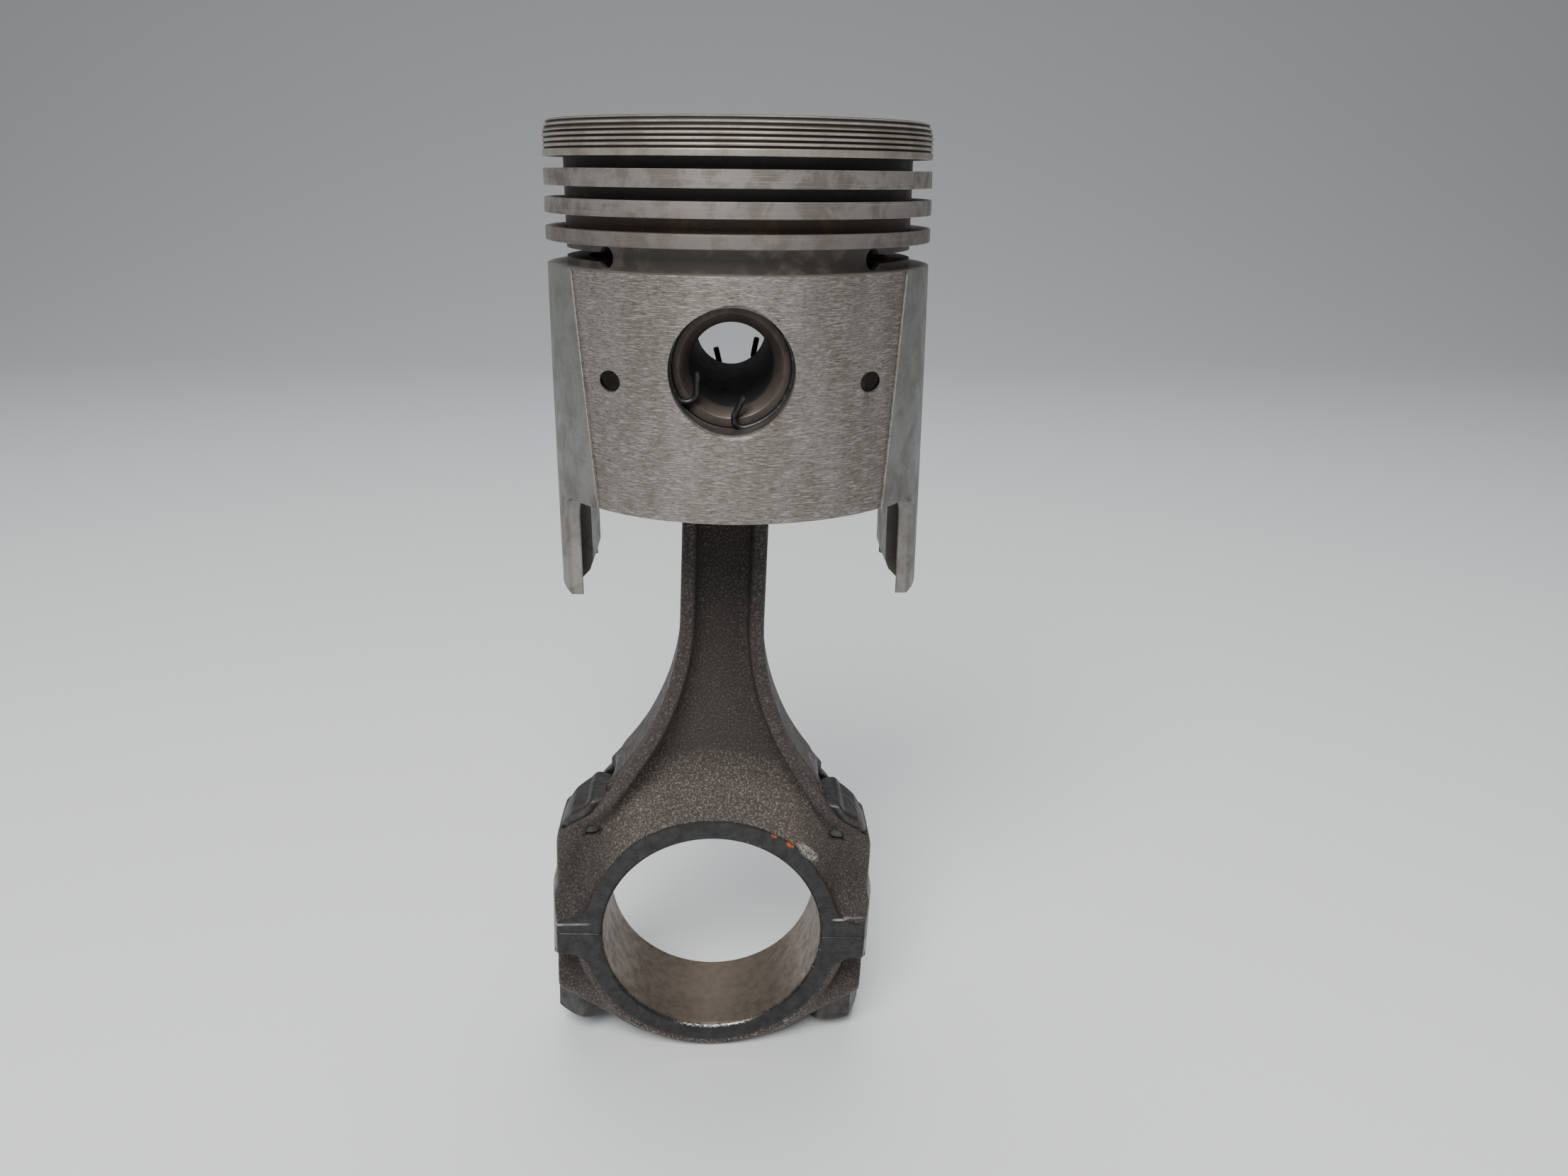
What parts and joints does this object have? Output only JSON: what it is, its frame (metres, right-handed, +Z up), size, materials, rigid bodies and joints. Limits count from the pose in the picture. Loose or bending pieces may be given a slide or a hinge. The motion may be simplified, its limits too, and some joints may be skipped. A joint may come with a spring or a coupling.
{
  "type": "piston and connecting rod assembly",
  "caption": "Slotted-skirt engine piston on a forged I-beam connecting rod with wrist pin, circlips and bolted big-end cap, no rings or shells fitted.",
  "frame": {"origin": "centre of the big-end bore", "axes": "+Y along the big-end bore and the wrist pin, +Z up along the piston axis from the big end to the crown, X across the thrust faces"},
  "size_m": [0.0949, 0.0866, 0.2389],
  "materials": {
    "piston_alloy": "turned and ground, stained from use",
    "pin_steel": "ground, brown oil film",
    "spring_wire": "dark drawn wire",
    "forged_steel": "forged and shot blasted, oily, machined joint faces",
    "bronze": "bored",
    "bolt_steel": "blackened, oily"
  },
  "bodies": {
    "rod": {"connecting_rod": "forged_steel", "small_end_bush": "bronze", "rod_cap": "forged_steel", "rod_bolts": "bolt_steel", "rod_nuts": "bolt_steel"},
    "piston": {"piston": "piston_alloy", "circlip_front": "spring_wire", "circlip_rear": "spring_wire"},
    "pin": {"wrist_pin": "pin_steel"}
  },
  "joints": [
    {"name": "piston_swing", "type": "hinge", "parent": "rod", "child": "piston", "pos_m": [0.0059, 0, 0.15349], "axis": [0, 1, 0], "range_deg": [-18, 18]},
    {"name": "pin_spin", "type": "hinge", "parent": "piston", "child": "pin", "pos_m": [0.0059, 0, 0.15349], "axis": [0, 1, 0], "continuous": true}
  ]
}
